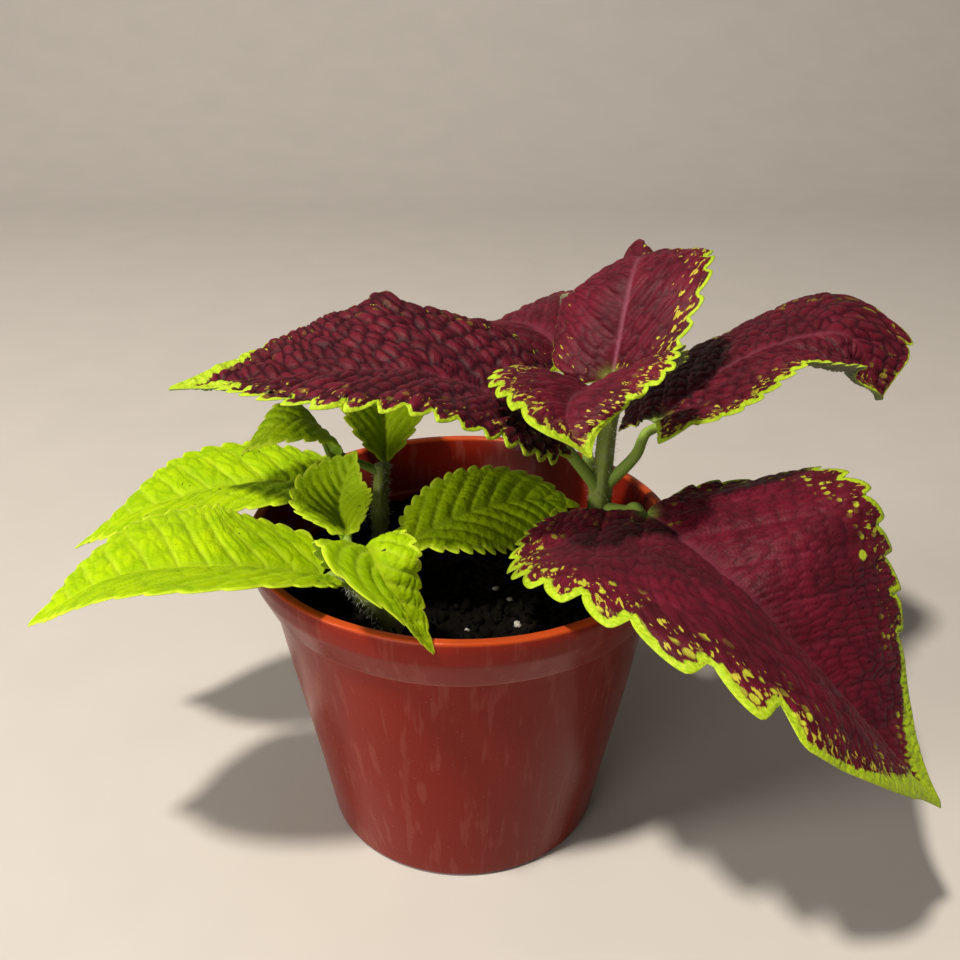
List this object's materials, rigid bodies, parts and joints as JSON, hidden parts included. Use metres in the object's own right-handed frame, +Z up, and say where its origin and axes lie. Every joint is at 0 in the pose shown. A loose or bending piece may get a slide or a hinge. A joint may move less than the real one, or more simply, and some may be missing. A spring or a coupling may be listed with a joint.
{
  "type": "potted coleus",
  "caption": "Potted coleus: burgundy leaves with a scalloped lime edge and plain lime leaves on leafy stems, in a tapered plastic nursery pot filled with soil.",
  "frame": {"origin": "centre of the pot's flat base, on the surface that it stands on", "axes": "+Z up along the pot's axis, -Y towards the side seen in the picture, +X to the right in it"},
  "size_m": [0.2181, 0.1567, 0.143],
  "materials": {
    "pot_plastic": "glossy moulded terracotta-red plastic",
    "soil": "matte dark potting mix with a few white flecks",
    "stem_green": "satin pale green skin with fine hairs",
    "burgundy_leaf": "velvety burgundy with a lime edge, pale green below",
    "lime_leaf": "satin yellow-green, thin enough to let light through"
  },
  "bodies": {
    "root": {"pot": "pot_plastic", "soil": "soil", "burgundy_stem": "stem_green", "lime_front_stem": "stem_green", "lime_back_stem": "stem_green", "burgundy_leaf_left": "burgundy_leaf", "burgundy_leaf_centre": "burgundy_leaf", "burgundy_leaf_front": "burgundy_leaf", "burgundy_leaf_right": "burgundy_leaf", "burgundy_leaf_low_right": "burgundy_leaf", "burgundy_leaf_back": "burgundy_leaf", "lime_front_leaf_left": "lime_leaf", "lime_front_leaf_right": "lime_leaf", "lime_front_leaf_back": "lime_leaf", "lime_front_leaf_front": "lime_leaf", "lime_back_leaf_left": "lime_leaf", "lime_back_leaf_upper_left": "lime_leaf", "lime_back_leaf_upper_right": "lime_leaf"}
  },
  "joints": []
}
